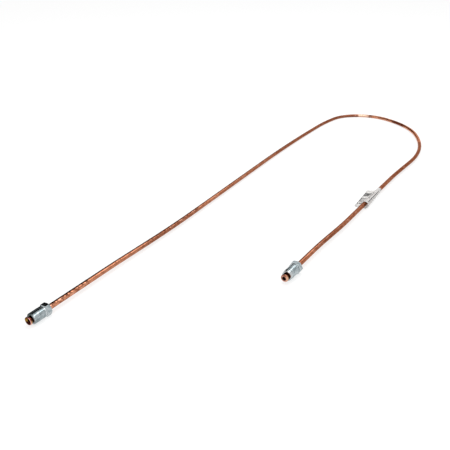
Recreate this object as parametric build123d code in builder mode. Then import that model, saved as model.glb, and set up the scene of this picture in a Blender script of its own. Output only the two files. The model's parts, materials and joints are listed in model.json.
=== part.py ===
from build123d import *
from math import acos, cos, degrees, pi, radians, tan
import os

os.makedirs("parts", exist_ok=True)

# A brake line: one thin copper pipe bent into a long U. A wide flare is formed from the pipe's own
# wall at each end, so the two steel nuts that were slipped on first can slide and turn but not come off.
# A paper label is folded round the short leg as a flag. The line lies on the floor on both nuts and
# on the underside of its bend.

# Pipe
pipe_d = 4.75
pipe_wall = 0.7

# Straights, and the radius and turn of the bend after each, from the long leg's end round to the short
# leg's end. Turns are in degrees, negative to the right. The straights of both ends are measured from the
# front of the flare, and the short leg's last one has no bend after it.
long_end_straight = 89.5
long_leg_straights = [40.0, 171.0]
long_leg_radii = [900.0, 1450.0, 3000.0]
long_leg_turns = [-1.2, 3.2, -3.6]

u_straights = [11.0, 4.0, 4.0, 4.5]
u_radii = [360.0, 55.0, 130.0, 240.0]
u_turns = [-8.7, -106.8, -38.2, -29.7]

short_leg_straight = 47.5
label_straight = 138.5
last_bend_straight = 27.0
short_end_straight = 59.0
short_leg_radii = [700.0, 600.0, 600.0]
short_leg_turns = [2.4, -2.5, 2.5]

# Flares
flare_d = 7.1
fold_rim = 1.35
fold_lip = 0.35
fold_flat = 0.05
rim_round = 0.3
bubble_front_d = 4.6
bubble_front_angle = 57.5
bubble_rim = 1.05
bubble_round = 0.45
flare_back_angle = 45.0

# Nuts
bore_clearance = 0.1
thread_d = 9.9
relief_depth = 0.65
relief_length = 1.0
mouth_wall = 1.4
edge_chamfer = 0.3
thread_lead = 0.75
hex_chamfer_angle = 30.0

long_nut_back = 3.0
long_nut_flats = 10.0
long_nut_thread = 11.8
long_nut_hex = 4.7

short_nut_back = 5.0
short_nut_flats = 11.0
short_nut_nose_step = 0.55
short_nut_nose = 3.3
short_nut_thread = 11.1
short_nut_hex = 4.5

# Label
label_length = 51.0
label_from_bend = 39.5
label_paper = 0.15
label_clearance = 0.1
label_float = 0.25
flag_root_reach = 1.44
flag_root_angle = -16.5
flag_root_d = 0.2
flag_knee = 7.0
flag_width_tight_end = 13.8
flag_width_loose_end = 11.9
loose_loop_d = 8.0
loose_loop_out = 1.1
loose_loop_drop = 0.3

pipe_r = pipe_d / 2
bore_r = pipe_r - pipe_wall
flare_r = flare_d / 2
nut_bore_r = pipe_r + bore_clearance
thread_r = thread_d / 2
mouth_r = thread_r - mouth_wall
relief_r = thread_r - relief_depth
nose_r = thread_r - short_nut_nose_step
flare_back = (flare_r - pipe_r) / tan(radians(flare_back_angle))
fold_length = fold_rim + flare_back
funnel_r = flare_r - rim_round - fold_flat
bubble_front = (flare_r - bubble_front_d / 2) / tan(radians(bubble_front_angle))
bubble_length = bubble_front + bubble_rim + flare_back
long_nut_length = long_nut_thread + relief_length + long_nut_hex
short_nut_length = short_nut_nose + short_nut_thread + relief_length + short_nut_hex

# Centre line, drawn flat, from the front of the long leg's flare at the origin
straights = [
    long_end_straight - fold_length,
    *long_leg_straights,
    *u_straights,
    short_leg_straight,
    label_straight,
    last_bend_straight,
]
radii = long_leg_radii + u_radii + short_leg_radii
turns = long_leg_turns + u_turns + short_leg_turns
runs = []
with BuildLine() as plan:
    at, ahead = Vector(0, fold_length), Vector(0, 1)
    for straight, radius, turn in zip(straights, radii, turns):
        run = Line(at, at + ahead * straight)
        arc = JernArc(run @ 1, run % 1, radius, turn)
        runs.append(run)
        at, ahead = arc @ 1, arc % 1
    last_run = Line(at, at + ahead * (short_end_straight - bubble_length))
label_run = runs[straights.index(label_straight)]
short_tip = last_run @ 1 + ahead * bubble_length

# Where the line rests: the back edge of a hexagon flat on each nut, and the bend's lowest point, which
# is the one furthest from the line between the nuts
long_foot = Vector(0, long_nut_back + long_nut_length)
short_foot = short_tip - ahead * (short_nut_back + short_nut_length)
foot_line = (short_foot - long_foot).normalized()
plan_wire = plan.wire()
bend_points = [plan_wire @ (step / 400) for step in range(401)]
bend_foot = max(bend_points, key=lambda point: foot_line.cross(point - long_foot).Z)
feet = [
    long_foot + Vector(0, 0, long_nut_flats / 2),
    short_foot + Vector(0, 0, short_nut_flats / 2),
    bend_foot + Vector(0, 0, pipe_r),
]
up = (feet[1] - feet[0]).cross(feet[2] - feet[0]).normalized()

# The origin is on the floor, under the middle of the line's outline
outline = plan.line.bounding_box()
long_corner_r = long_nut_flats / 2 / cos(pi / 6)
west = min(outline.min.X - pipe_r, -long_corner_r)
east = outline.max.X + pipe_r
north = outline.max.Y + pipe_r
lay = Plane(
    origin=(-(west + east) / 2, -north / 2, feet[0].dot(up) / up.Z),
    x_dir=Vector(1, 0, 0) - up * up.X,
    z_dir=up,
)
route = plan_wire.moved(lay.location)
long_tip = lay.from_local_coords(Vector(0, 0))
into_long = lay.y_dir
into_short = (lay.from_local_coords(last_run @ 0) - lay.from_local_coords(short_tip)).normalized()
long_end = Plane(origin=long_tip, x_dir=into_long, z_dir=up)
short_end = Plane(origin=lay.from_local_coords(short_tip), x_dir=into_short, z_dir=up)


def across(end, distance):
    """The plane that crosses the pipe at a distance from the front of one of its flares."""
    return Plane(origin=end.origin + end.x_dir * distance, x_dir=end.y_dir, z_dir=end.x_dir)


# The pipe, with a flare folded back on itself at the long leg's end and a bubble at the short leg's end
with BuildPart() as pipe:
    with BuildSketch(across(long_end, fold_length)):
        Circle(pipe_r)
        Circle(bore_r, mode=Mode.SUBTRACT)
    sweep(path=route)

    lip_r = bore_r + fold_lip
    with BuildSketch(long_end) as folded:
        with BuildLine():
            Polyline(
                (0, funnel_r),
                (0, flare_r),
                (fold_rim, flare_r),
                (fold_length, pipe_r),
                (fold_length, bore_r),
                (funnel_r - lip_r, bore_r),
                (funnel_r - lip_r, lip_r),
                close=True,
            )
        make_face()
        rim = folded.vertices().group_by(Axis.Y)[-1]
        fillet(rim, radius=rim_round)
    revolve(axis=Axis(long_end.origin, long_end.x_dir))

    bubble_back = bubble_front + bubble_rim
    back_shift = pipe_wall / cos(radians(flare_back_angle))
    front_shift = pipe_wall / cos(radians(90 - bubble_front_angle))
    front_slope = tan(radians(bubble_front_angle))
    hollow_r = flare_r - pipe_wall
    with BuildSketch(short_end) as bubble:
        with BuildLine():
            Polyline(
                (0, bore_r),
                (0, bubble_front_d / 2),
                (bubble_front, flare_r),
                (bubble_back, flare_r),
                (bubble_length, pipe_r),
                (bubble_length, bore_r),
                (bubble_back + flare_r - back_shift - bore_r, bore_r),
                (bubble_back + flare_r - back_shift - hollow_r, hollow_r),
                (front_shift + (hollow_r - bubble_front_d / 2) / front_slope, hollow_r),
                (front_shift + (bore_r - bubble_front_d / 2) / front_slope, bore_r),
                close=True,
            )
        make_face()
        fillet(bubble.vertices().group_by(Axis.Y)[-1], radius=bubble_round)
    revolve(axis=Axis(short_end.origin, short_end.x_dir))
pipe.part.label = "pipe"
export_step(pipe.part, "parts/pipe.step")


def tube_nut(end, back, flats, thread, hexagon, nose=0):
    """A nut threaded outside and bored for the pipe, its front a distance back from a flare's front."""
    length = nose + thread + relief_length + hexagon
    corner_r = flats / 2 / cos(pi / 6)
    chamfer_r = flats / 2 - edge_chamfer
    chamfer_length = (corner_r - chamfer_r) * tan(radians(hex_chamfer_angle))
    hex_front = length - hexagon
    turned = [(0, thread_r - thread_lead), (thread_lead, thread_r)]
    if nose:
        turned = [
            (0, nose_r - edge_chamfer),
            (edge_chamfer, nose_r),
            (nose, nose_r),
            (nose + short_nut_nose_step, thread_r),
        ]
    front = across(end, back)
    profile = Plane(origin=front.origin, x_dir=end.x_dir, z_dir=end.z_dir)
    axis = Axis(front.origin, end.x_dir)
    with BuildPart() as nut:
        with BuildSketch(profile):
            with BuildLine():
                Polyline(
                    (0, mouth_r),
                    *turned,
                    (hex_front - relief_length, thread_r),
                    (hex_front - relief_length, relief_r),
                    (hex_front, relief_r),
                    (hex_front, chamfer_r),
                    (hex_front + chamfer_length, corner_r),
                    (length - chamfer_length, corner_r),
                    (length, chamfer_r),
                    (length, nut_bore_r + edge_chamfer),
                    (length - edge_chamfer, nut_bore_r),
                    (mouth_r - nut_bore_r, nut_bore_r),
                    close=True,
                )
            make_face()
        revolve(axis=axis)
        with BuildSketch(across(end, back + hex_front)):
            Circle(corner_r + edge_chamfer)
            RegularPolygon(flats / 2, 6, major_radius=False, mode=Mode.SUBTRACT)
        extrude(amount=hexagon, mode=Mode.SUBTRACT)
    return nut.part


long_leg_nut = tube_nut(long_end, long_nut_back, long_nut_flats, long_nut_thread, long_nut_hex)
long_leg_nut.label = "long_leg_nut"
export_step(long_leg_nut, "parts/long_leg_nut.step")

short_leg_nut = tube_nut(
    short_end,
    short_nut_back,
    short_nut_flats,
    short_nut_thread,
    short_nut_hex,
    nose=short_nut_nose,
)
short_leg_nut.label = "short_leg_nut"
export_step(short_leg_nut, "parts/short_leg_nut.step")


# The label is wound tight round the pipe at the end by the bend and opens as a cone towards the other. Its
# sections have X towards the long leg and Y up, and both draw in to the flag's root on the same two slants.
label_start = lay.from_local_coords(label_run @ 0)
label_ahead = (lay.from_local_coords(label_run @ 1) - label_start).normalized()
loose_loop_shift = up.cross(label_ahead) * loose_loop_out - up * loose_loop_drop
tight_middle = label_start + label_ahead * label_from_bend
loose_middle = tight_middle + label_ahead * label_length + loose_loop_shift
label_axis = (tight_middle - loose_middle).normalized()
label_across = up.cross(label_axis)
tight = Plane(origin=tight_middle, x_dir=label_across, z_dir=label_axis)
loose = Plane(origin=loose_middle, x_dir=label_across, z_dir=label_axis)
lengthwise = Plane(origin=loose_middle, x_dir=label_axis, z_dir=label_across)
tight_r = pipe_r + label_clearance
loose_r = loose_loop_d / 2
root_r = flag_root_d / 2
root_spread = degrees(acos(1 / flag_root_reach))
upper_slant = Vector(1, 0).rotate(Axis.Z, flag_root_angle + root_spread)
lower_slant = Vector(1, 0).rotate(Axis.Z, flag_root_angle - root_spread)


def root_point(loop_r):
    """Where the loop closes and the flag begins."""
    return Vector(1, 0).rotate(Axis.Z, flag_root_angle) * flag_root_reach * (loop_r - root_r)


def cone_sketch(extra):
    """Half of the loop's cone, cut lengthwise."""
    length = (tight_middle - loose_middle).length
    with BuildSketch(lengthwise) as half:
        Polygon((0, 0), (length, 0), (length, tight_r + extra), (0, loose_r + extra), align=None)
    return half.sketch


def neck_sketch(plane, loop_r, extra):
    """What the loop holds between its round part and the flag's root."""
    root = root_point(loop_r)
    with BuildSketch(plane) as neck:
        Polygon(
            upper_slant * (loop_r + extra),
            Vector(0, 0),
            lower_slant * (loop_r + extra),
            root + lower_slant * (root_r + extra),
            root + upper_slant * (root_r + extra),
            align=None,
        )
    return neck.sketch


def flag_sketch(plane, loop_r, width):
    """The flag, two layers of paper thick, from the loop's root down to the floor and along it."""
    floor = label_float + label_paper - plane.origin.Z
    root = root_point(loop_r)
    middle = [(root.X, root.Y), (flag_knee, floor), (width, floor)]
    upper = [(x, y + label_paper) for x, y in middle]
    lower = [(x, y - label_paper) for x, y in reversed(middle)]
    with BuildSketch(plane) as flag:
        Polygon(*upper, *lower, align=None)
    return flag.sketch


with BuildPart() as flag_label:
    revolve(cone_sketch(label_paper), axis=Axis(loose_middle, label_axis))
    loft([
        neck_sketch(loose, loose_r, label_paper).face(),
        neck_sketch(tight, tight_r, label_paper).face(),
    ])
    loft([
        flag_sketch(loose, loose_r, flag_width_loose_end).face(),
        flag_sketch(tight, tight_r, flag_width_tight_end).face(),
    ])
    revolve(cone_sketch(0), axis=Axis(loose_middle, label_axis), mode=Mode.SUBTRACT)
    loft(
        [
            neck_sketch(loose, loose_r, 0).face(),
            neck_sketch(tight, tight_r, 0).face(),
        ],
        mode=Mode.SUBTRACT,
    )
flag_label.part.label = "flag_label"
export_step(flag_label.part, "parts/flag_label.step")
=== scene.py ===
# %% [markdown]
# # A copper brake line with two tube nuts and a paper flag
#
# The real object is one thin copper pipe, bent into a long U and flared at both ends. Two steel nuts were
# slipped on before the flares were formed, so they can slide but never come off. A paper label is folded
# round the short leg. The solid model already holds every size, so this lesson dresses it: each piece is
# modelled where the solid stands, and then it gets the finish of the real thing.

# %% Load the solid model as a fixed frame
import json
from math import acos, ceil, cos, degrees, pi, radians, sin, sqrt, tan

import bpy
import numpy as np
from mathutils import Matrix, Vector


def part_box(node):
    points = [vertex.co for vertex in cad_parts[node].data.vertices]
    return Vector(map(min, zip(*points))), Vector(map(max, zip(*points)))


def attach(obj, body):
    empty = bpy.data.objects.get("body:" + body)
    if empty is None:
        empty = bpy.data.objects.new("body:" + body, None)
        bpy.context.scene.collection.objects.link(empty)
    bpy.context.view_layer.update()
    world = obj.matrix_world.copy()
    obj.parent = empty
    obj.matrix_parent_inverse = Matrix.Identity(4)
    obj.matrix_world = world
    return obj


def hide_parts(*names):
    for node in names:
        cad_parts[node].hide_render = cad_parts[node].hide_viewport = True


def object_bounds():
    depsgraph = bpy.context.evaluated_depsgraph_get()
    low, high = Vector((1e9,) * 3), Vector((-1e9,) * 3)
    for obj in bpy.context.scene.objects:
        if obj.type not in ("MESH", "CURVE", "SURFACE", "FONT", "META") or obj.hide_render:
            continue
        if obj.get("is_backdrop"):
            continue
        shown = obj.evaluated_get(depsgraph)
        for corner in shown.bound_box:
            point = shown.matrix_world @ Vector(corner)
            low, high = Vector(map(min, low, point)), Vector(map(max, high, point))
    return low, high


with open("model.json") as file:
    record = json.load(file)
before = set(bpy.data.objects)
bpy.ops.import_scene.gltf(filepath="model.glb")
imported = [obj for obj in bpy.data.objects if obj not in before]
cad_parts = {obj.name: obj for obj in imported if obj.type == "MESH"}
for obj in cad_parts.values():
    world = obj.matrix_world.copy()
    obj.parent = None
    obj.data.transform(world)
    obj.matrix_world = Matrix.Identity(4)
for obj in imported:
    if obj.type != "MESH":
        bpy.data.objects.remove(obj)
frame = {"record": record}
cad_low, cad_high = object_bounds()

mm = 0.001
print("The line measures", [round(side / mm, 1) for side in cad_high - cad_low], "mm")

# %% [markdown]
# ## The camera
#
# The camera is set first, because every look is judged through it. It stands in front of the two ends, a
# little above the floor, and looks down the legs towards the bend. Its lens is worked out from a picture
# 450 pixels wide, in which this object's perspective needs a focal length of 545 pixels.

# %% Place the camera
picture_width = 450
focal_pixels = 545
camera_place = Vector((225.6, -567.5, 262.7)) * mm
camera_tilt = radians(27.07)
camera_turn = radians(30.77)

bpy.ops.object.camera_add(location=camera_place, rotation=(pi / 2 - camera_tilt, 0, camera_turn))
camera = bpy.context.object
camera.data.sensor_width = 36
camera.data.lens = camera.data.sensor_width * focal_pixels / picture_width
camera.data.clip_start = 5 * mm
camera.data.clip_end = 30
bpy.context.scene.camera = camera
bpy.context.scene.view_settings.view_transform = "Standard"
print("The lens is", round(camera.data.lens, 1), "mm on a 36 mm sensor")

# %% [markdown]
# ## The ends of the pipe
#
# The record names the seat in front of each flare, with the direction in which a port would leave. Turned
# round, that direction is the way into the pipe. Both ends and their directions lie in the plane in which
# the pipe was bent, so they give its upright too.

# %% Read the ends from the frame
mounts = {mount["name"]: mount for mount in frame["record"]["mounts"]}
long_tip = Vector(mounts["long_leg_flare_seat"]["pos_m"])
short_tip = Vector(mounts["short_leg_flare_seat"]["pos_m"])
into_long = -Vector(mounts["long_leg_flare_seat"]["axis"]).normalized()
into_short = -Vector(mounts["short_leg_flare_seat"]["axis"]).normalized()
up = (short_tip - long_tip).cross(into_long).normalized()
print("The bending plane leans", round(degrees(acos(up.z)), 2), "degrees")

# %% [markdown]
# ## The route of the pipe
#
# A pipe bender works from a short table: how far to feed the pipe, the radius of the bend, and how far to
# turn. The same table makes the model, so its bends are true arcs, not a curve drawn by eye. Each stretch
# below knows its length and where it starts, which lets a finish follow the pipe later on.

# %% The bending table and its stretches
# The solid's flat facets cut a little inside its true round, so the finer model keeps this much under it
facet_gap = 0.012 * mm
pipe_r = 4.75 / 2 * mm - facet_gap
bore_r = pipe_r - 0.7 * mm
# Each row: how far to feed, the radius of the bend, both in millimetres, and the turn in degrees
bend_table = [
    (89.5, 900, -1.2),
    (40, 1450, 3.2),
    (171, 3000, -3.6),
    (11, 360, -8.7),
    (4, 55, -106.8),
    (4, 130, -38.2),
    (4.5, 240, -29.7),
    (47.5, 700, 2.4),
    (138.5, 600, -2.5),
    (27, 600, 2.5),
]
short_end_straight = 59 * mm
# The row whose straight the label is wrapped round, counted from nought
label_row = 8


class Stretch:
    """A straight, or an arc if it has a radius, of the pipe's centre line."""

    def __init__(self, start, ahead, travelled, length, radius=0, turn=0):
        self.start, self.ahead = start, ahead
        self.travelled, self.length = travelled, length
        self.radius, self.turn = radius, turn
        self.side = up.cross(ahead)
        self.centre = start + self.side * (radius if turn > 0 else -radius)

    def end(self):
        """The point and the direction at the far end."""
        if not self.radius:
            return self.start + self.ahead * self.length, self.ahead
        swing = Matrix.Rotation(self.turn, 3, up)
        return self.centre + swing @ (self.start - self.centre), swing @ self.ahead


stretches = []
place, ahead, travelled = long_tip, into_long, 0
for straight, radius, turn in bend_table:
    run = Stretch(place, ahead, travelled, straight * mm)
    place, ahead = run.end()
    travelled += run.length
    arc_length = radius * mm * abs(radians(turn))
    arc = Stretch(place, ahead, travelled, arc_length, radius * mm, radians(turn))
    place, ahead = arc.end()
    travelled += arc.length
    stretches += [run, arc]
stretches.append(Stretch(place, ahead, travelled, short_end_straight))
place, ahead = stretches[-1].end()
pipe_length = travelled + short_end_straight
print("The pipe is", round(pipe_length / mm, 1), "mm long")
print("Its end misses the record's by", round((place - short_tip).length / mm, 3), "mm")

# %% [markdown]
# ## Ring by ring
#
# A turned or drawn part is one ring that travels: it is extruded a little way, scaled to the next radius,
# and so on. An outline of distances and radii then becomes a piece of metal, as on a lathe. Real edges are
# never razor sharp, so an outline may give any corner a small radius, which catches the light.

# %% Helpers that move a ring
negligible = 1e-9


def soften(outline, steps=4):
    """The outline with each corner that has a third number rounded to that radius."""
    made = []
    for number, corner in enumerate(outline):
        here = Vector(corner[:2])
        if len(corner) == 2 or number in (0, len(outline) - 1):
            made.append(here)
            continue
        radius = corner[2]
        before = (Vector(outline[number - 1][:2]) - here).normalized()
        after = (Vector(outline[number + 1][:2]) - here).normalized()
        half = before.angle(after) / 2
        centre = here + (before + after).normalized() * radius / sin(half)
        first = here + before * radius / tan(half) - centre
        last = here + after * radius / tan(half) - centre
        for step in range(steps + 1):
            made.append(centre + first.slerp(last, step / steps).normalized() * radius)
    return made


def deselect():
    """Nothing is selected, so that an operator touches only what comes next."""
    if bpy.context.object and bpy.context.object.mode != "OBJECT":
        bpy.ops.object.mode_set(mode="OBJECT")
    bpy.ops.object.select_all(action="DESELECT")


def start_ring(name, centre, along, radius, corners):
    """A circle across a direction, open for editing, with all of it selected."""
    deselect()
    facing = Matrix((up.cross(along), up, along)).transposed().to_euler()
    bpy.ops.mesh.primitive_circle_add(vertices=corners, radius=radius, location=centre, rotation=facing)
    piece = bpy.context.object
    piece.name = name
    bpy.ops.object.transform_apply(location=True, rotation=True, scale=True)
    bpy.ops.object.mode_set(mode="EDIT")
    bpy.ops.mesh.select_all(action="SELECT")
    return piece


def feed(step):
    """Extrudes the ring straight on."""
    bpy.ops.mesh.extrude_region_move(TRANSFORM_OT_translate={"value": step, "orient_type": "GLOBAL"})


def follow_outline(front, along, outline):
    """Takes the ring through an outline of distances behind the front and radii."""
    for (x0, r0), (x1, r1) in zip(outline, outline[1:]):
        feed(along * (x1 - x0))
        if abs(r1 - r0) > negligible:
            bpy.ops.transform.resize(value=[r1 / r0] * 3, center_override=front + along * x1)


def finish_shape(piece, merge, smooth_angle):
    """Merges doubled points, turns the faces outwards and smooths all but the sharp edges."""
    bpy.ops.mesh.select_all(action="SELECT")
    bpy.ops.mesh.remove_doubles(threshold=merge)
    bpy.ops.mesh.normals_make_consistent(inside=False)
    bpy.ops.object.mode_set(mode="OBJECT")
    bpy.ops.object.shade_smooth_by_angle(angle=radians(smooth_angle))
    print(piece.name, "has", len(piece.data.polygons), "faces")


print("A ring can be started, fed, scaled and finished")

# %% [markdown]
# ## The copper pipe
#
# The pipe is hollow and its flares are its own wall, rolled over or bulged out by a press. So one ring makes
# it all. It starts in the bore behind the folded flare, comes out over the funnel and the rim, runs along the
# outside through every bend, goes over the bubble flare and back in through its hole, and returns down the
# bore to where it began. Straights are extruded and bends are spun, just as the bender feeds and turns. A
# curve with a bevel would be quicker, but it couldn't make the flares.

# %% The outlines of the two flares
flare_r = 7.1 / 2 * mm
flare_back_slope = radians(45)
fold_rim, fold_lip, fold_flat, rim_round = 1.35 * mm, 0.35 * mm, 0.05 * mm, 0.3 * mm
funnel_r = flare_r - rim_round - fold_flat
lip_r = bore_r + fold_lip
lip_depth = funnel_r - lip_r
flare_back = (flare_r - pipe_r) / tan(flare_back_slope)
fold_length = fold_rim + flare_back
edge_round = 0.08 * mm

folded_flare = soften([
    (fold_length, bore_r),
    (lip_depth, bore_r, edge_round),
    (lip_depth, lip_r, edge_round),
    (0, funnel_r, edge_round / 4),
    (0, flare_r, rim_round),
    (fold_rim, flare_r, rim_round),
    (fold_length, pipe_r),
])

bubble_front_r = 4.6 / 2 * mm
bubble_front_slope = radians(57.5)
bubble_rim, bubble_round = 1.05 * mm, 0.45 * mm
bubble_front = (flare_r - bubble_front_r) / tan(bubble_front_slope)
bubble_back = bubble_front + bubble_rim
bubble_length = bubble_back + flare_back
wall = pipe_r - bore_r
hollow_r = flare_r - wall
hollow_front = wall / sin(bubble_front_slope)
hollow_back = bubble_back + flare_r - wall / cos(flare_back_slope)

bubble_flare = soften([
    (bubble_length, pipe_r),
    (bubble_back, flare_r, bubble_round),
    (bubble_front, flare_r, bubble_round),
    (0, bubble_front_r, edge_round * 3),
    (0, bore_r, edge_round),
    (hollow_front + (bore_r - bubble_front_r) / tan(bubble_front_slope), bore_r, edge_round),
    (hollow_front + (hollow_r - bubble_front_r) / tan(bubble_front_slope), hollow_r, edge_round),
    (hollow_back - hollow_r, hollow_r, edge_round),
    (hollow_back - bore_r, bore_r),
    (bubble_length, bore_r),
])
print("The folded flare is", round(fold_length / mm, 2), "mm long, the bubble", round(bubble_length / mm, 2))

# %% Model the pipe
pipe_corners = 48
arc_step = 4 * mm
arc_turn_step = radians(2)


def travel(stretch, backwards, shortened=0):
    """Feeds the ring along a straight, or spins it round a bend. Spin's angle counts clockwise."""
    sign = -1 if backwards else 1
    if not stretch.radius:
        feed(stretch.ahead * (stretch.length - shortened) * sign)
        return
    steps = max(ceil(stretch.length / arc_step), ceil(abs(stretch.turn) / arc_turn_step))
    bpy.ops.mesh.spin(steps=steps, angle=-stretch.turn * sign, center=stretch.centre, axis=up)


pipe = start_ring("copper_pipe", long_tip + into_long * fold_length, into_long, bore_r, pipe_corners)
follow_outline(long_tip, into_long, folded_flare)
cut_short = {0: fold_length, len(stretches) - 1: bubble_length}
for number, stretch in enumerate(stretches):
    travel(stretch, False, cut_short.get(number, 0))
follow_outline(short_tip, into_short, bubble_flare)
for number, stretch in reversed(list(enumerate(stretches))):
    travel(stretch, True, cut_short.get(number, 0))
finish_shape(pipe, merge=0.02 * mm, smooth_angle=30)

# %% [markdown]
# ## Telling each point how far along the pipe it is
#
# Drawing marks run along a pipe and tarnish gathers in rings and patches round it. To let a finish do that
# through the bends, every point keeps the place that it had while the pipe was still straight: how far along,
# and where round the middle. It is stored as an attribute, which the material reads like coordinates, and
# which has no seam, as a UV map round the pipe would have.

# %% Store the straight pipe's coordinates
slack = 0.001 * mm


def unroll(points):
    """Where each point would be if the pipe were straight, along X with the upright as Z."""
    flat = np.zeros_like(points)
    nearest = np.full(len(points), np.inf)
    for number, stretch in enumerate(stretches):
        start, side = np.array(stretch.start), np.array(stretch.side)
        offset = points - start
        height = offset @ np.array(up)
        if stretch.radius:
            spoke = points - np.array(stretch.centre)
            out = -np.sign(stretch.turn) * (spoke @ side)
            forward = spoke @ np.array(stretch.ahead)
            along = np.arctan2(forward, out) * stretch.radius
            sideways = np.sign(stretch.turn) * (stretch.radius - np.hypot(out, forward))
        else:
            along = offset @ np.array(stretch.ahead)
            sideways = offset @ side
        first, last = number == 0, number == len(stretches) - 1
        low = -np.inf if first else -slack
        high = np.inf if last else stretch.length + slack
        away = np.hypot(sideways, height)
        better = (along >= low) & (along <= high) & (away < nearest)
        nearest[better] = away[better]
        flat[better] = np.stack([stretch.travelled + along, sideways, height], axis=1)[better]
    return flat


def points_of(piece):
    """All of a mesh's points, as an array."""
    points = np.empty(len(piece.data.vertices) * 3)
    piece.data.vertices.foreach_get("co", points)
    return points.reshape(-1, 3)


def keep_place(piece, places):
    """Stores a place for each point as the attribute that the finishes read."""
    attribute = piece.data.attributes.new("own_place", "FLOAT_VECTOR", "POINT")
    attribute.data.foreach_set("vector", places.astype(np.float32).ravel())


pipe_places = unroll(points_of(pipe))
keep_place(pipe, pipe_places)

# A point deeper than nearly half the wall is inside. The outside's radius changes over the bubble, and the
# funnel in the folded flare and the edge of the bubble's hole count as outside.
from_bubble = pipe_length - pipe_places[:, 0]
outer_outline = [
    (0, bubble_front_r),
    (bubble_front, flare_r),
    (bubble_back, flare_r),
    (bubble_length, pipe_r),
]
outer_r = np.interp(from_bubble, *zip(*outer_outline))
inside = np.hypot(pipe_places[:, 1], pipe_places[:, 2]) < outer_r - wall * 0.45
inside &= (from_bubble > edge_round * 2) & (pipe_places[:, 0] > lip_depth + edge_round * 0.5)
attribute = pipe.data.attributes.new("inside", "FLOAT", "POINT")
attribute.data.foreach_set("value", inside.astype(np.float32))
print("Unrolled, the pipe ends at", round(pipe_places[:, 0].max() / mm, 2), "mm")
print(inside.sum(), "of its", len(inside), "points are inside")

# %% [markdown]
# ## The tube nuts
#
# A tube nut is turned from hexagon bar: the front is turned down and threaded, the bar's flats are left at
# the back, and a hole with a wide mouth is drilled through. The model goes the same way. A ring makes the
# turned shape, six cuts with a plane leave the flats, and the thread is a ridge wound round by a Screw
# modifier. It is modelled flat along X and laid in place at the end.

# %% Sizes that both nuts share
bore_clearance, edge_chamfer = 0.1 * mm, 0.3 * mm
thread_r, pitch, thread_depth = 9.9 / 2 * mm, 1 * mm, 0.25 * mm
thread_lead, relief_depth, relief_length = 0.75 * mm, 0.65 * mm, 1 * mm
mouth_wall = 1.4 * mm
hex_chamfer_slope = radians(30)
nut_corners = 120
corner_flat = 0.05 * mm
nut_bore_r = pipe_r + bore_clearance
root_r = thread_r - thread_depth
relief_r = thread_r - relief_depth
mouth_r = thread_r - mouth_wall
print("The thread is", round(thread_r * 2 / mm, 1), "mm across and its pitch is", round(pitch / mm, 1), "mm")


# %% The turned body and its flats
def turn_body(name, start_outline, flats, thread_end, hexagon):
    """Everything of a nut but its thread, from the thread's front round through the bore to its back."""
    hex_front = thread_end + relief_length
    length = hex_front + hexagon
    corner_r = flats / 2 / cos(pi / 6)
    chamfer_r = flats / 2 - edge_chamfer
    chamfer = (corner_r - chamfer_r) * tan(hex_chamfer_slope)
    soft = edge_chamfer / 4
    outline = soften(start_outline + [
        (0, mouth_r, soft),
        (mouth_r - nut_bore_r, nut_bore_r, soft),
        (length - edge_chamfer, nut_bore_r, soft),
        (length, nut_bore_r + edge_chamfer, soft),
        (length, chamfer_r, soft),
        (length - chamfer, corner_r - corner_flat, soft / 2),
        (hex_front + chamfer, corner_r - corner_flat, soft / 2),
        (hex_front, chamfer_r, soft),
        (hex_front, relief_r, soft),
        (thread_end, relief_r),
    ])
    along = Vector((1, 0, 0))
    body = start_ring(name, along * outline[0][0], along, outline[0][1], nut_corners)
    follow_outline(Vector(), along, outline)
    for side in range(6):
        facing = radians(30 + 60 * side)
        normal = Vector((0, cos(facing), sin(facing)))
        bpy.ops.mesh.select_all(action="SELECT")
        bpy.ops.mesh.bisect(
            plane_co=normal * flats / 2,
            plane_no=normal,
            use_fill=True,
            clear_outer=True,
            threshold=0.001 * mm,
        )
    bpy.ops.object.mode_set(mode="OBJECT")
    print(name, "is", round(length / mm, 1), "mm long and", round(flats / mm, 1), "mm across its flats")
    return body


# %% [markdown]
# Bump alone could draw a thread, but the nut's outline would stay smooth. So the ridge is real. It is drawn
# as one line, a little longer than the threaded length, and the Screw modifier winds it so that each ridge
# meets the next one. Its ends then stick out past both ends. A lathe would have turned the blank to a cone
# there first, so each point that lies outside those cones is moved in to them.

# %% Wind a thread
# One ridge: shares of the pitch, and how far up from the root to the crest
ridge = [(0, 0), (0.05, 0), (0.11, 0.5), (0.17, 1), (0.5, 1), (0.83, 1), (0.89, 0.5), (0.95, 0)]


def wind_thread(name, start, start_r, end):
    """A right-hand thread between a cone at its front and one at its back."""
    turns = range(-1, ceil((end - start) / pitch) + 1)
    outline = [
        (start + (turn + share) * pitch, 0, root_r + height * thread_depth)
        for turn in turns
        for share, height in ridge
    ]
    mesh = bpy.data.meshes.new(name)
    mesh.from_pydata(outline, [(number, number + 1) for number in range(len(outline) - 1)], [])
    thread = bpy.data.objects.new(name, mesh)
    bpy.context.scene.collection.objects.link(thread)
    deselect()
    bpy.context.view_layer.objects.active = thread
    thread.select_set(True)
    screw = thread.modifiers.new("wind", "SCREW")
    screw.axis = "X"
    screw.steps = screw.render_steps = nut_corners
    screw.screw_offset = pitch
    bpy.ops.object.modifier_apply(modifier=screw.name)

    points = points_of(thread)
    x = np.clip(points[:, 0], start, end)
    radius = np.hypot(points[:, 1], points[:, 2])
    cones = np.minimum(start_r + x - start, relief_r + end - x)
    wanted = np.minimum(radius, cones)
    wanted[points[:, 0] <= start] = start_r
    wanted[points[:, 0] >= end] = relief_r
    points[:, 0] = x
    points[:, 1:] *= (wanted / radius)[:, None]
    thread.data.vertices.foreach_set("co", points.ravel())
    print(name, "has", round((end - start) / pitch, 1), "turns")
    return thread


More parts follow.
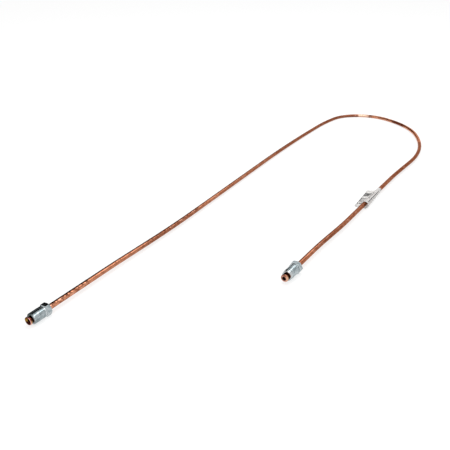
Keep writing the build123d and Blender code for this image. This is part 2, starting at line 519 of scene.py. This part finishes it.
# %% Make and place each nut
def tube_nut(name, front, along, flats, thread_start, start_r, start_outline, thread_end, hexagon):
    """A whole nut, laid along the pipe with a flat underneath."""
    body = turn_body(name, start_outline, flats, thread_end, hexagon)
    thread = wind_thread(name + "_thread", thread_start, start_r, thread_end)
    deselect()
    thread.select_set(True)
    body.select_set(True)
    bpy.context.view_layer.objects.active = body
    bpy.ops.object.join()
    bpy.ops.object.mode_set(mode="EDIT")
    finish_shape(body, merge=0.01 * mm, smooth_angle=28)
    keep_place(body, points_of(body))
    body.matrix_world = Matrix.Translation(front) @ Matrix((along, up.cross(along), up)).transposed().to_4x4()
    bpy.ops.object.transform_apply(location=True, rotation=True, scale=True)
    return body


long_nut_back, long_nut_thread = 3 * mm, 11.8 * mm
long_start_r = thread_r - thread_lead
long_nut = tube_nut(
    "long_leg_tube_nut",
    long_tip + into_long * long_nut_back,
    into_long,
    flats=10 * mm,
    thread_start=0,
    start_r=long_start_r,
    start_outline=[(0, long_start_r)],
    thread_end=long_nut_thread,
    hexagon=4.7 * mm,
)

short_nut_back, short_nut_nose, short_nut_thread = 5 * mm, 3.3 * mm, 11.1 * mm
short_nut = tube_nut(
    "short_leg_tube_nut",
    short_tip + into_short * short_nut_back,
    into_short,
    flats=11 * mm,
    thread_start=short_nut_nose,
    start_r=root_r,
    start_outline=[(short_nut_nose, root_r), (0, root_r, edge_chamfer)],
    thread_end=short_nut_nose + short_nut_thread,
    hexagon=4.5 * mm,
)

for nut, node in ((long_nut, "long_leg_nut"), (short_nut, "short_leg_nut")):
    low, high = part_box(node)
    miss = np.abs(np.array([points_of(nut).min(0) - low, points_of(nut).max(0) - high])).max()
    print(nut.name, "keeps to its solid's box within", round(miss / mm, 2), "mm")

# %% [markdown]
# ## The paper label
#
# The label is one strip of paper that goes once round the pipe and is stuck to itself, so it ends in a flag
# two layers thick. It was wound tight at the end by the bend and opens like a cone towards the nut. The sheet
# is laid out row by row, and each row runs from the flag's edge round the pipe and back under itself. Cloth
# physics could fold it too, but with rows the size of the flat sheet is known.

# %% The sheet's cross-sections
label_length, label_from_bend = 51 * mm, 39.5 * mm
paper, float_height = 0.11 * mm, 0.4 * mm
layer_offset = paper * 0.55
loose_r, tight_r = 4 * mm, pipe_r + 0.1 * mm
loose_out, loose_drop = 1.1 * mm, 0.3 * mm
loose_flag, tight_flag = 11.9 * mm, 13.8 * mm
flag_root_r, flag_root_reach, flag_root_angle = 0.1 * mm, 1.44, radians(-16.5)
flag_knee = 7 * mm
corner_round, curl = 2.2 * mm, 0.5 * mm
loop_points, flag_points = 73, 24
# Steps of the smooth curves along which each row's points are then spaced
round_steps, root_steps, droop_steps = 200, 5, 60


def closed_loop(radius):
    """The paper's way round the pipe, from the flag's root over the top and back to it, anticlockwise."""
    root = flag_root_reach * (radius - flag_root_r)
    opens = acos(1 / flag_root_reach)
    round_part = np.linspace(opens, 2 * pi - opens, round_steps)
    tip = np.linspace(0, opens, root_steps)
    tip_points = root + (flag_root_r + paper / 2) * np.exp(1j * tip)
    loop_part = (radius + paper / 2) * np.exp(1j * round_part)
    points = np.concatenate([tip_points, loop_part, tip_points.conj()[::-1]]) * np.exp(1j * flag_root_angle)
    return np.stack([points.real, points.imag], axis=1)


def evenly(points, count, shortened=0):
    """The same line with its points spaced evenly, ending a little short."""
    steps = np.linalg.norm(np.diff(points, axis=0), axis=1)
    reached = np.concatenate([[0], np.cumsum(steps)])
    wanted = np.linspace(0, reached[-1] - shortened, count)
    return np.stack([np.interp(wanted, reached, points[:, axis]) for axis in (0, 1)], axis=1)


def flag_line(radius, width, floor, lift):
    """The flag's middle line, from the root down to the floor, with its edge lifted a little."""
    root = flag_root_reach * (radius - flag_root_r) * np.array([cos(flag_root_angle), sin(flag_root_angle)])
    knee, edge = np.array([flag_knee, floor]), np.array([width, floor + lift])
    step = np.linspace(0, 1, droop_steps)[:, None]
    return root * (1 - step) ** 2 + 2 * knee * step * (1 - step) + edge * step ** 2


print("The loop opens from", round(tight_r * 2 / mm, 1), "to", round(loose_r * 2 / mm, 1), "mm across")

# %% Lay out the sheet
label_run = stretches[2 * label_row]
tight_middle = label_run.start + label_run.ahead * label_from_bend
loose_middle = tight_middle + label_run.ahead * label_length + label_run.side * loose_out - up * loose_drop
label_axis = (tight_middle - loose_middle).normalized()
label_across = up.cross(label_axis)
label_up = label_axis.cross(label_across)

label_rows = 45
sheet_points, flat_places, row_lengths = [], [], []
# The rows lie closer together towards both ends, where the flag's corners are round
for share in (1 - np.cos(np.linspace(0, pi, label_rows))) / 2:
    radius = loose_r + (tight_r - loose_r) * share
    width = loose_flag + (tight_flag - loose_flag) * share
    middle = loose_middle.lerp(tight_middle, share)
    flag = flag_line(radius, width, float_height - middle.z, curl * share)
    missing = max(corner_round - min(share, 1 - share) * label_length, 0)
    cut = corner_round - sqrt(corner_round ** 2 - missing ** 2)
    off_middle = np.array([0, layer_offset])
    row = np.concatenate([
        evenly(flag + off_middle, flag_points, cut)[:0:-1],
        evenly(closed_loop(radius), loop_points),
        evenly(flag - off_middle, flag_points, cut)[1:],
    ])
    reached = np.concatenate([[0], np.cumsum(np.linalg.norm(np.diff(row, axis=0), axis=1))])
    row_lengths.append(reached[-1])
    for (x, y), distance in zip(row, reached + cut):
        sheet_points.append(middle + label_across * x + label_up * y)
        flat_places.append((distance / label_length, share))
across_points = len(row)
sheet_faces = []
for row in range(label_rows - 1):
    for number in range(across_points - 1):
        first = row * across_points + number
        sheet_faces.append((first, first + 1, first + 1 + across_points, first + across_points))

label_mesh = bpy.data.meshes.new("paper_label")
label_mesh.from_pydata(sheet_points, [], sheet_faces)
label = bpy.data.objects.new("paper_label", label_mesh)
bpy.context.scene.collection.objects.link(label)
uv = label_mesh.uv_layers.new(name="flat_sheet")
for loop in label_mesh.loops:
    uv.data[loop.index].uv = flat_places[loop.vertex_index]
sheet_width = sum(row_lengths) / label_rows
print("The paper is", round(label_length / mm, 1), "by", round(sheet_width / mm, 1), "mm when flat")

# %% Give the paper its thickness
deselect()
bpy.context.view_layer.objects.active = label
label.select_set(True)
thick = label.modifiers.new("paper", "SOLIDIFY")
thick.thickness = paper
thick.offset = 0
thick.material_offset = 1
bpy.ops.object.modifier_apply(modifier=thick.name)
bpy.ops.object.shade_smooth_by_angle(angle=radians(30))
print(label.name, "has", len(label.data.polygons), "faces")

# %% [markdown]
# ## Shader maths that reads as Python
#
# A finish is a sum: this tint where that mask is high, a little rougher in the grooves. Nodes hide such sums
# in a web of lines. The small class below wraps one output, so that plus, minus and times on it add their
# own Math nodes, and the finishes further down can be read like formulas.

# %% Signals
class Signal:
    """One output of a node in a web."""

    def __init__(self, web, socket):
        self.web, self.socket = web, socket

    def maths(self, operation, *values):
        return self.web.node("ShaderNodeMath", {"operation": operation}, dict(enumerate(values)))

    def root(self):
        return self.maths("SQRT", self)

    def clamped(self):
        return self.maths("MINIMUM", self.maths("MAXIMUM", self, 0), 1)

    def __add__(self, other):
        return self.maths("ADD", self, other)

    def __sub__(self, other):
        return self.maths("SUBTRACT", self, other)

    def __rsub__(self, other):
        return self.maths("SUBTRACT", other, self)

    def __mul__(self, other):
        return self.maths("MULTIPLY", self, other)

    def __truediv__(self, other):
        return self.maths("DIVIDE", self, other)

    def __gt__(self, other):
        return self.maths("GREATER_THAN", self, other)

    def __lt__(self, other):
        return self.maths("LESS_THAN", self, other)

    __radd__ = __add__
    __rmul__ = __mul__


print("Signals can be added, multiplied and compared")

# %% [markdown]
# Every node is made by one method, which takes its type, its settings, and a value or a signal for each of
# its sockets. The world's light is a web of nodes too, so it shares that method with the finishes.

# %% Webs of nodes
class Web:
    """A tree of nodes, and one way to add any node to it."""

    def __init__(self, tree):
        self.tree = tree

    def node(self, kind, settings=None, inputs=None, output=0):
        """Makes a node and gives the signal from one of its outputs."""
        made = self.tree.nodes.new(kind)
        for name, value in (settings or {}).items():
            setattr(made, name, value)
        for name, value in (inputs or {}).items():
            self.put(made.inputs[name], value)
        return Signal(self, made.outputs[output])

    def put(self, socket, value):
        """Links a signal to a socket, or sets the socket to a plain value."""
        if isinstance(value, Signal):
            self.tree.links.new(value.socket, socket)
        else:
            socket.default_value = value

    def seen_directly(self):
        """One for camera, glossy and transmission rays, and nought for the light on matt surfaces."""
        rays = self.node("ShaderNodeLightPath").socket.node.outputs
        camera_ray, glossy_ray, through_ray = (
            Signal(self, rays[kind]) for kind in ("Is Camera Ray", "Is Glossy Ray", "Is Transmission Ray")
        )
        return camera_ray.maths("MAXIMUM", camera_ray.maths("MAXIMUM", camera_ray, glossy_ray), through_ray)


print("Any node can be added to a web")


# %% Finishes
class Finish(Web):
    """A material and its shader, with the patterns and masks that the finishes are made of."""

    def __init__(self, name):
        self.material = bpy.data.materials.new(name)
        self.material.use_nodes = True
        super().__init__(self.material.node_tree)
        self.shader = self.tree.nodes["Principled BSDF"]

    def set(self, **values):
        """Sets the shader's own sockets, named with underscores for spaces."""
        for name, value in values.items():
            self.put(self.shader.inputs[name.replace("_", " ")], value)

    def mix_in(self, share, kind, inputs):
        """Mixes a share of another shader into this one."""
        both = {0: share, 1: Signal(self, self.shader.outputs[0]), 2: self.node(kind, None, inputs)}
        surface = self.tree.nodes["Material Output"].inputs["Surface"]
        self.put(surface, self.node("ShaderNodeMixShader", None, both))

    def own_place(self):
        """A point's place on its piece before the piece was bent or laid down."""
        return self.node("ShaderNodeAttribute", {"attribute_name": "own_place"}, None, "Vector")

    def object_place(self):
        return self.node("ShaderNodeTexCoord", None, None, "Object")

    def parts(self, vector):
        """The three numbers of a vector."""
        outputs = self.node("ShaderNodeSeparateXYZ", None, {0: vector}).socket.node.outputs
        return [Signal(self, output) for output in outputs]

    def noise(self, place, sizes, detail=2):
        """Soft noise whose lumps have about these sizes along the three axes."""
        scale = [1 / size for size in sizes]
        stretched = self.node("ShaderNodeVectorMath", {"operation": "MULTIPLY"}, {0: place, 1: scale})
        return self.node("ShaderNodeTexNoise", None, {"Vector": stretched, "Scale": 1, "Detail": detail})

    def ramp(self, value, low, high):
        """Nought below low, one above high, and smooth between them."""
        settings = {"interpolation_type": "SMOOTHSTEP"}
        return self.node("ShaderNodeMapRange", settings, {"Value": value, "From Min": low, "From Max": high})

    def hump(self, value, low, high, edge):
        """One between low and high, and nought beyond them, with soft edges."""
        return self.ramp(value, low - edge, low) * self.ramp(value, high + edge, high)

    def tint(self, mask, first, second):
        """The first colour where the mask is nought and the second where it is one."""
        return self.node("ShaderNodeMix", {"data_type": "RGBA"}, {0: mask, 6: first, 7: second}, 2)

    def layered(self, colour, layers):
        """A colour with others laid over it in turn, each where its mask is high."""
        for mask, over in layers:
            colour = self.tint(mask, colour, over)
        return colour

    def bump(self, height, distance, strength):
        inputs = {"Height": height, "Distance": distance, "Strength": strength}
        return self.node("ShaderNodeBump", None, inputs)


print("Finishes can be mixed from patterns, masks and tints")

# %% [markdown]
# ## Copper
#
# A drawn copper pipe is smooth, with faint lines along it from the die. Handling leaves it unevenly
# tarnished: pinkish where it was rubbed, browner in patches, with a few dark spots and a row of small dark
# dots on top of the long leg. A short stretch of the bend is painted bright as a glint, a painted highlight.
# Copper is a metal, so its colour is in its reflections. A painted picture could hold all this. Here the
# finish lays tint over tint instead, each with a mask worked out from the place along the pipe, so that
# no picture is needed and any patch is moved by changing one number.

# %% The copper's colours and where they change
fresh_copper, aged_copper = (0.60, 0.255, 0.145, 1), (0.22, 0.078, 0.042, 1)
tarnish_red, cleaned_pink = (0.15, 0.035, 0.016, 1), (0.66, 0.37, 0.28, 1)
spot_brown, dot_black = (0.06, 0.015, 0.01, 1), (0.035, 0.012, 0.008, 1)
# The last colour here is a painted highlight, the glint painted into the bend
bend_dark_red, painted_glint_bright = (0.17, 0.028, 0.013, 1), (0.80, 0.54, 0.40, 1)

# Stretches of the pipe: from and to, measured from the long leg's end, and how softly they end. The last
# three are slow changes, with only their beginning and end.
spotted_by_nut = (20 * mm, 62 * mm, 8 * mm)
spotted_on_leg = (150 * mm, 230 * mm, 15 * mm)
# A short stretch of the bend painted bright all round, as a painted glint
painted_glint_in_bend = (711 * mm, 725 * mm, 4 * mm)
paler_in_bend = (738 * mm, 768 * mm, 10 * mm)
# A darker red patch in the bend, on all but the pipe's top
dark_red_in_bend = (783 * mm, 799 * mm, 9 * mm)
paler_past_bend = (812 * mm, 885 * mm, 15 * mm)
browner_on_leg = (40 * mm, 150 * mm)
browner_to_bend = (260 * mm, 620 * mm)
paler_to_nut = (1235 * mm, 1290 * mm)
print("The bend's marks lie", round(painted_glint_in_bend[0] / mm), "to", round(dark_red_in_bend[1] / mm), "mm along")


# %% The copper along the pipe
def aged_copper_run(copper, place, along, sideways, height):
    """The colour of the pipe between its flares, with the masks of its tarnish and its spots."""
    cloud = copper.noise(place, (55 * mm, 6 * mm, 6 * mm), detail=3)
    blotches = copper.noise(place, (6 * mm, 2.2 * mm, 2.2 * mm), detail=2)
    specks = copper.noise(place, (1.8 * mm, 1.1 * mm, 1.1 * mm), detail=1)
    grains = copper.noise(place, (2.2 * mm, 2.2 * mm, 2.2 * mm), detail=0)

    # The pipe is browner towards the bend and past it than by its long leg's nut
    brown = copper.ramp(along, *browner_on_leg) * 0.65 + copper.ramp(along, *browner_to_bend) * 0.35
    brown = brown - copper.hump(along, *paler_in_bend) * 1.4 - copper.hump(along, *paler_past_bend) * 1.1
    brown = brown - copper.ramp(along, *paler_to_nut) * 0.4
    brown = brown + copper.ramp(cloud, 0.36, 0.68) * 0.3 - 0.14

    by_nut, on_leg = copper.hump(along, *spotted_by_nut), copper.hump(along, *spotted_on_leg)
    mottled = 0.5 + by_nut * 0.35 + on_leg * 0.15
    tarnish = copper.ramp(blotches, 0.50, 0.62) * mottled
    cleaned = copper.ramp(blotches, 0.44, 0.32) * mottled
    spots = copper.ramp(specks, 0.58, 0.66) * mottled

    # The dots keep to a narrow row along the top
    top = copper.hump(sideways, -1.6 * mm, 1.4 * mm, 0.3 * mm) * copper.ramp(height, 0.8 * mm, 1.4 * mm)
    dots = copper.ramp(grains, 0.47, 0.53) * top * (by_nut * 0.8 + on_leg * 0.6)

    # A darker red patch lies in the bend, on all but the pipe's top, and a short stretch is painted bright
    # all round as a painted highlight
    dark_red_patch = copper.hump(along, *dark_red_in_bend) * copper.ramp(height, 2.2 * mm, 0.8 * mm)
    painted_glint = copper.hump(along, *painted_glint_in_bend)
    colour = copper.layered(copper.tint(brown.clamped(), fresh_copper, aged_copper), [
        (tarnish * 0.75, tarnish_red),
        (cleaned * 0.6, cleaned_pink),
        (spots * 0.8, spot_brown),
        (dots, dot_black),
        (dark_red_patch * 0.65, bend_dark_red),
        (painted_glint * 0.7, painted_glint_bright),
    ])
    return colour, tarnish, spots


# %% [markdown]
# The flares' colours are painted light and shade. Their rims and the bubble's front carry painted highlights,
# the bore and the funnel of the folded flare are painted dark as shade, and the pipe just behind each flare
# has painted shade, in the nut's shelter.

# %% The copper of the flares
dark_band_length = 3 * mm
# Painted shade behind each flare, round the edge of the bubble's hole and in the bore
behind_flare_painted_shade, hole_edge_painted_shade = (0.10, 0.025, 0.015, 1), (0.05, 0.015, 0.01, 1)
bore_painted_shade = (0.006, 0.003, 0.003, 1)
# The funnel is painted dark as shade, with a gold patch of painted reflection
funnel_painted_shade, funnel_painted_reflection = (0.035, 0.007, 0.005, 1), (0.28, 0.16, 0.03, 1)
# Painted light below and painted shade on top of the folded flare's barrel, and its rim's painted highlight
# and painted shade
barrel_painted_light, barrel_painted_middle = (0.86, 0.52, 0.33, 1), (0.42, 0.24, 0.08, 1)
barrel_painted_shade = (0.10, 0.015, 0.012, 1)
rim_painted_highlight, rim_painted_shade = (0.74, 0.38, 0.36, 1), (0.14, 0.025, 0.012, 1)
# The bubble's front is a painted highlight, with painted shade on top and on one side and painted gold light
# on the other
bubble_painted_highlight, bubble_top_painted_shade = (0.80, 0.46, 0.38, 1), (0.22, 0.07, 0.03, 1)
bubble_side_painted_light, bubble_side_painted_shade = (0.60, 0.36, 0.18, 1), (0.20, 0.06, 0.03, 1)
print("The funnel is", round(funnel_r * 2 / mm, 1), "mm wide and", round(lip_depth / mm, 1), "mm deep")


def folded_flare_layers(copper, along, sideways, height, radius, in_bore):
    """Painted shade in the bore and funnel, a painted reflection in the funnel, painted light below and
    painted shade on top of the barrel, and a painted highlight on one side of the rim.
    """
    in_funnel = copper.ramp(radius, funnel_r + 0.02 * mm, funnel_r - 0.1 * mm)
    in_funnel = in_funnel * (along < lip_depth + edge_round)
    # Where the funnel's gold patch of painted reflection lies
    reflected_patch = copper.hump(sideways, 1.2 * mm, 3 * mm, 0.6 * mm)
    reflected_patch = reflected_patch * copper.hump(height, -0.9 * mm, 1.3 * mm, 0.6 * mm)
    funnel = copper.tint(reflected_patch, funnel_painted_shade, funnel_painted_reflection)
    behind = copper.hump(along, fold_length, fold_length + dark_band_length, 0.5 * mm)
    barrel = copper.hump(along, 0.35 * mm, fold_length, 0.1 * mm) * (1 - in_funnel) * (1 - in_bore)
    side = copper.tint(copper.ramp(height, -1.6 * mm, 0.2 * mm), barrel_painted_light, barrel_painted_middle)
    side = copper.tint(copper.ramp(height, 0.4 * mm, 1.6 * mm), side, barrel_painted_shade)
    rim = copper.ramp(radius, funnel_r - 0.05 * mm, funnel_r + 0.05 * mm) * (along < 0.3 * mm)
    rim_colour = copper.tint(copper.ramp(sideways, -0.4 * mm, 1 * mm), rim_painted_highlight, rim_painted_shade)
    return [
        (in_funnel, funnel),
        (in_bore, bore_painted_shade),
        (behind * 0.8, behind_flare_painted_shade),
        (barrel * 0.9, side),
        (rim * 0.9, rim_colour),
    ]


def bubble_flare_layers(copper, along, sideways, height, radius, in_bore):
    """The bubble's front with a painted highlight, painted shade on top and to one side, painted gold light
    on the other side, and painted shade at the edge of its hole.
    """
    bubble_start = pipe_length - bubble_length
    behind = copper.hump(along, bubble_start - dark_band_length, bubble_start, 0.5 * mm)
    front_start = pipe_length - bubble_back
    front = copper.ramp(along, front_start - 0.2 * mm, front_start) * (1 - in_bore)
    hole = copper.ramp(radius, bubble_front_r, bubble_front_r - 0.25 * mm)
    return [
        (behind * 0.8, behind_flare_painted_shade),
        (front * 0.8, bubble_painted_highlight),
        (front * copper.ramp(height, 1.3 * mm, 2.6 * mm) * 0.85, bubble_top_painted_shade),
        (front * copper.ramp(sideways, 1.4 * mm, 3 * mm) * 0.6, bubble_side_painted_light),
        (front * copper.ramp(sideways, -1.6 * mm, -3 * mm) * 0.8, bubble_side_painted_shade),
        (hole * (along > pipe_length - edge_round * 2) * 0.85, hole_edge_painted_shade),
    ]


# %% Dress the pipe in copper
def copper_finish():
    """The whole pipe's finish: the aged run first, then what each flare lays over it."""
    copper = Finish("drawn_copper")
    place = copper.own_place()
    along, sideways, height = copper.parts(place)
    radius = (sideways * sideways + height * height).root()
    in_bore = copper.node("ShaderNodeAttribute", {"attribute_name": "inside"}, None, "Fac")
    lines = copper.noise(place, (40 * mm, 0.25 * mm, 0.25 * mm))
    colour, tarnish, spots = aged_copper_run(copper, place, along, sideways, height)
    for layers in (folded_flare_layers, bubble_flare_layers):
        colour = copper.layered(colour, layers(copper, along, sideways, height, radius, in_bore))
    copper.set(
        Base_Color=colour,
        Metallic=1,
        Specular_Tint=(0.9, 0.6, 0.5, 1),
        Roughness=0.22 + lines * 0.08 + tarnish * 0.14 + spots * 0.1,
        Normal=copper.bump(lines, 0.02 * mm, 0.35),
    )
    return copper.material


pipe.data.materials.append(copper_finish())
print("The pipe is copper")

# %% [markdown]
# ## Zinc-plated steel
#
# The nuts are turned steel with a bright zinc plate. Turning leaves fine rings, and the bar's flats keep
# straight marks. Both are noise that is stretched, round the nut for the rings and along it for the marks.
# The bottom of the thread is darker, from grime and from painted shade, and the mouth has painted shade. The
# plain nose and the groove behind the thread are paler, and the long nut has a painted dark reflection on the
# upper left of its front.

# %% The zinc finish
plate_dull, plate_bright = (0.27, 0.32, 0.335, 1), (0.46, 0.51, 0.53, 1)
plate_pale, thread_grime_and_shade = (0.66, 0.69, 0.70, 1), (0.10, 0.11, 0.11, 1)
front_painted_dark, mouth_painted_shade = (0.02, 0.03, 0.03, 1), (0.03, 0.025, 0.02, 1)


def zinc_finish(name, hex_front, nose=0, painted_dark_front=0):
    """A nut's plate, paler as far back as its nose, with a painted dark reflection on the upper left of its
    front.
    """
    zinc = Finish(name)
    place = zinc.own_place()
    x, y, z = zinc.parts(place)
    radius = (y * y + z * z).root()
    rings = zinc.noise(place, (0.12 * mm, 30 * mm, 30 * mm))
    drawn = zinc.noise(place, (12 * mm, 0.2 * mm, 0.2 * mm))
    on_flats = x > hex_front
    marks = rings * (1 - on_flats) + drawn * on_flats
    clouds = zinc.noise(place, (3 * mm, 3 * mm, 3 * mm), detail=3)
    # The thread's roots are darkened, for grime and for painted shade
    deep = zinc.ramp(radius, thread_r - 0.1 * mm, root_r) * (x < hex_front - relief_length)
    # The nose and the groove behind the thread are paler
    pale_bands = (x < nose) + zinc.hump(x, hex_front - 1.6 * mm, hex_front + 0.2 * mm, 0.2 * mm)
    # A painted dark reflection on the upper left of the nut's front
    front_dark_reflection = zinc.ramp(x, painted_dark_front, painted_dark_front - 0.6 * mm) * zinc.ramp(y + z, 2 * mm, 4 * mm)
    # The mouth of the nut is darkened with painted shade
    in_mouth = zinc.ramp(radius, mouth_r - 0.1 * mm, mouth_r - 0.4 * mm)
    plate = zinc.tint(zinc.ramp(clouds, 0.35, 0.65), plate_dull, plate_bright)
    zinc.set(
        Base_Color=zinc.layered(plate, [
            (deep * 0.35, thread_grime_and_shade),
            (pale_bands.clamped() * 0.5, plate_pale),
            (front_dark_reflection * 0.8, front_painted_dark),
            (in_mouth * 0.8, mouth_painted_shade),
        ]),
        Metallic=1,
        Roughness=0.12 + clouds * 0.08 + marks * 0.08,
        Normal=zinc.bump(marks, 0.01 * mm, 0.3),
    )
    return zinc.material


long_hex_front = long_nut_thread + relief_length
short_hex_front = short_nut_nose + short_nut_thread + relief_length
long_nut.data.materials.append(zinc_finish("zinc_plate_long", long_hex_front, painted_dark_front=1.9 * mm))
short_nut.data.materials.append(zinc_finish("zinc_plate_short", short_hex_front, nose=short_nut_nose))
print("The nuts are zinc plated")

# %% [markdown]
# ## Printed paper
#
# The label's face has plain dashes along the pipe and a few fields of grey on the flag, and a grey band of
# painted shade along its edges. They are drawn from the sheet's own flat coordinates, so they bend with the
# paper. Thin paper also lets light through, which is why the inside of its loop isn't black. A translucent
# shader mixed in does that, except where the print or the painted shade stops it.

# %% The paper finishes
print_and_shade_black, printed_white = (0.03, 0.03, 0.03, 1), (0.94, 0.92, 0.90, 1)
inside_shade, inside_white = (0.80, 0.86, 0.95, 1), (0.88, 0.92, 0.98, 1)
printed_glow, inside_glow = (0.98, 0.98, 0.98, 1), (0.92, 0.96, 1.0, 1)
printed_lets_through, inside_lets_through = 0.45, 0.88
# The width in millimetres of a grey band along the sheet's edges, which is painted shade
edge_band_width = 0.6


def printed_paper():
    """The outside. Its fields are in millimetres, across the sheet and along it."""
    sheet = Finish("printed_paper")
    flat = sheet.node("ShaderNodeUVMap", {"uv_map": "flat_sheet"})
    across, along, _ = (part * (label_length / mm) for part in sheet.parts(flat))

    def field(low_across, high_across, low_along, high_along):
        """One inside a rectangle of the sheet, and nought outside it."""
        inside_across = (across > low_across) * (across < high_across)
        return inside_across * (along > low_along) * (along < high_along)

    def dashes(mask, size_across, size_along, share):
        """A mask broken into marks of about this size, fewer of them the higher the share."""
        spread = sheet.node("ShaderNodeCombineXYZ", None, {0: along / size_along, 1: across / size_across})
        grain = sheet.node("ShaderNodeTexNoise", None, {"Vector": spread, "Scale": 1, "Detail": 0})
        return mask * (grain > share)

    block, window = field(0.5, 8, 15, 26), field(1.5, 7, 16.8, 24.2)
    grey, grey_middle = field(0.4, 9, 31, 43), field(0.4, 9, 33, 41)
    inner_line, outer_line = field(15, 15.9, 12, 34), field(18, 18.9, 3, 42)
    short_marks = field(0.4, 7, 8.6, 11)
    within_edge_band = field(edge_band_width, sheet_width / mm - edge_band_width, edge_band_width, label_length / mm - edge_band_width)
    print_and_edge_shade = dashes(inner_line, 9, 1.3, 0.38) * 0.9 + dashes(outer_line, 9, 1.3, 0.38) * 0.9
    print_and_edge_shade = print_and_edge_shade + dashes(short_marks, 1.5, 9, 0.4)
    print_and_edge_shade = print_and_edge_shade + (block - window) * 0.85 + window * 0.3
    print_and_edge_shade = print_and_edge_shade + grey * 0.45 + dashes(grey_middle, 9, 1.1, 0.45) * 0.5
    # A grey band along the sheet's edges is painted shade, laid in with the print
    print_and_edge_shade = print_and_edge_shade + (1 - within_edge_band) * 0.6
    fibre = sheet.noise(sheet.object_place(), (0.5 * mm, 0.5 * mm, 0.5 * mm), 3)
    sheet.set(
        Base_Color=sheet.tint(print_and_edge_shade.clamped(), printed_white, print_and_shade_black),
        Roughness=0.6 + fibre * 0.1,
        Normal=sheet.bump(fibre, 0.02 * mm, 0.2),
    )
    bare_share = (1 - print_and_edge_shade.clamped()) * printed_lets_through
    sheet.mix_in(bare_share, "ShaderNodeBsdfTranslucent", {"Color": printed_glow})
    return sheet.material


def plain_paper():
    """The inside, which takes most of its light through the sheet."""
    sheet = Finish("plain_paper")
    fibre = sheet.noise(sheet.object_place(), (0.4 * mm, 0.4 * mm, 0.4 * mm), 3)
    sheet.set(
        Base_Color=sheet.tint(fibre, inside_shade, inside_white),
        Roughness=0.5 + fibre * 0.1,
        Normal=sheet.bump(fibre, 0.02 * mm, 0.2),
    )
    sheet.mix_in(inside_lets_through, "ShaderNodeBsdfTranslucent", {"Color": inside_glow})
    return sheet.material


label.data.materials.append(printed_paper())
label.data.materials.append(plain_paper())
print("The label is printed")

# %% [markdown]
# ## Floor and light
#
# The floor is plain and white and keeps the line's shadow. What the camera and the metal see of it is a
# little lighter than what lights the object, so that it is white without more light on the paper.

# %% The floor and the room
floor_side, below_line = 16, 0.03 * mm
floor_shade, floor_shade_seen, floor_glow_seen = 0.8, 0.42, 0.72
room_light, room_light_seen = 0.6, 1


def grey(value):
    """A colour with no hue."""
    return value, value, value, 1


deselect()
bpy.ops.mesh.primitive_plane_add(size=floor_side, location=(0, 0, cad_low.z - below_line))
floor = bpy.context.object
floor.name = "floor"
floor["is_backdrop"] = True
white_floor = Finish("white_floor")
seen = white_floor.seen_directly()
white_floor.set(
    Base_Color=white_floor.tint(seen, grey(floor_shade), grey(floor_shade_seen)),
    Roughness=0.9,
    Specular_IOR_Level=0,
    Emission_Color=white_floor.tint(seen, grey(0), grey(floor_glow_seen)),
    Emission_Strength=1,
)
white_floor.material.cycles.emission_sampling = "NONE"
floor.data.materials.append(white_floor.material)

world = bpy.data.worlds.new("studio")
bpy.context.scene.world = world
world.use_nodes = True
world.cycles.sampling_method = "NONE"
room = Web(world.node_tree)
limits = {"Value": room.seen_directly(), "To Min": room_light, "To Max": room_light_seen}
background = room.tree.nodes["Background"]
room.put(background.inputs["Color"], grey(1))
room.put(background.inputs["Strength"], room.node("ShaderNodeMapRange", None, limits))
print("The floor is", round(below_line / mm, 2), "mm below the line, so that the two never meet")

# %% [markdown]
# One soft lamp overhead lights the paper and gives the floor its faint shadow. The metal shows what stands
# round it, as on a photographer's table. A white panel overhead, a little askew, draws the bright streaks
# along the nuts. Two dark screens on the left, a narrow gap apart, give pipe and nuts their black edge, and
# an upright white panel by the camera makes the glint in the bend. All four are there for reflections only.

# %% The lamp and the panels
bpy.ops.object.light_add(type="AREA", location=(-0.1, 0.3, 1.2))
lamp = bpy.context.object
lamp.data.shape = "RECTANGLE"
lamp.data.size, lamp.data.size_y = 1, 1.4
lamp.data.energy = 7
lamp.visible_glossy = False


def panel(name, rungs, brightness):
    """A strip between two rails, given rung by rung, that only reflections see."""
    mesh = bpy.data.meshes.new(name)
    faces = [(2 * rung, 2 * rung + 1, 2 * rung + 3, 2 * rung + 2) for rung in range(len(rungs) - 1)]
    mesh.from_pydata([corner for rung in rungs for corner in rung], [], faces)
    made = bpy.data.objects.new(name, mesh)
    bpy.context.scene.collection.objects.link(made)
    made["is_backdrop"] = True
    made.visible_camera = made.visible_diffuse = made.visible_shadow = made.visible_transmission = False
    finish = Finish(name)
    finish.set(
        Base_Color=grey(0),
        Specular_IOR_Level=0,
        Emission_Color=grey(brightness),
        Emission_Strength=1,
    )
    mesh.materials.append(finish.material)


overhead, left = 0.6, -0.6
on_floor, screen_top = 0.1 * mm, 0.62
panel("white_overhead", [
    ((0.05, -0.2, overhead), (0.36, -0.2, overhead)),
    ((-0.03, 0.8, overhead), (0.20, 0.8, overhead)),
], brightness=4)
panel("white_by_camera", [
    ((0.19, -0.76, 0.25), (0.19, -0.76, 1.2)),
    ((0.47, -0.64, 0.25), (0.47, -0.64, 1.2)),
], brightness=3)
panel("dark_left", [
    ((-0.092, -0.45, on_floor), (-0.092, -0.12, on_floor)),
    ((left, -0.4, on_floor), (left, 0.34, on_floor)),
    ((left, -0.35, screen_top), (left, 0.34, screen_top)),
    ((-0.28, -0.2, screen_top), (-0.20, 0.14, screen_top)),
], brightness=0.01)
panel("dark_behind", [
    ((left, 0.38, 0.02), (left, 0.50, 0.66)),
    ((left, 1.10, 0.02), (left, 1.30, 0.66)),
], brightness=0.01)
print("The lamp and four panels are up")

# %% [markdown]
# ## Each piece joins its body
#
# The pipe and the label belong to one body and each nut to its own, so that a nut can slide while the rest
# stays. The solid that each piece stands for is hidden.

# %% Ride and replace
for piece, body, node, slot in (
    (pipe, "line", "pipe", "copper"),
    (long_nut, "long_nut", "long_leg_nut", "zinc_plate"),
    (short_nut, "short_nut", "short_leg_nut", "zinc_plate"),
    (label, "line", "flag_label", "label_paper"),
):
    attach(piece, body)
    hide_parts(node)

low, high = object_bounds()
print("The dressed line measures", [round(side / mm, 1) for side in high - low], "mm")
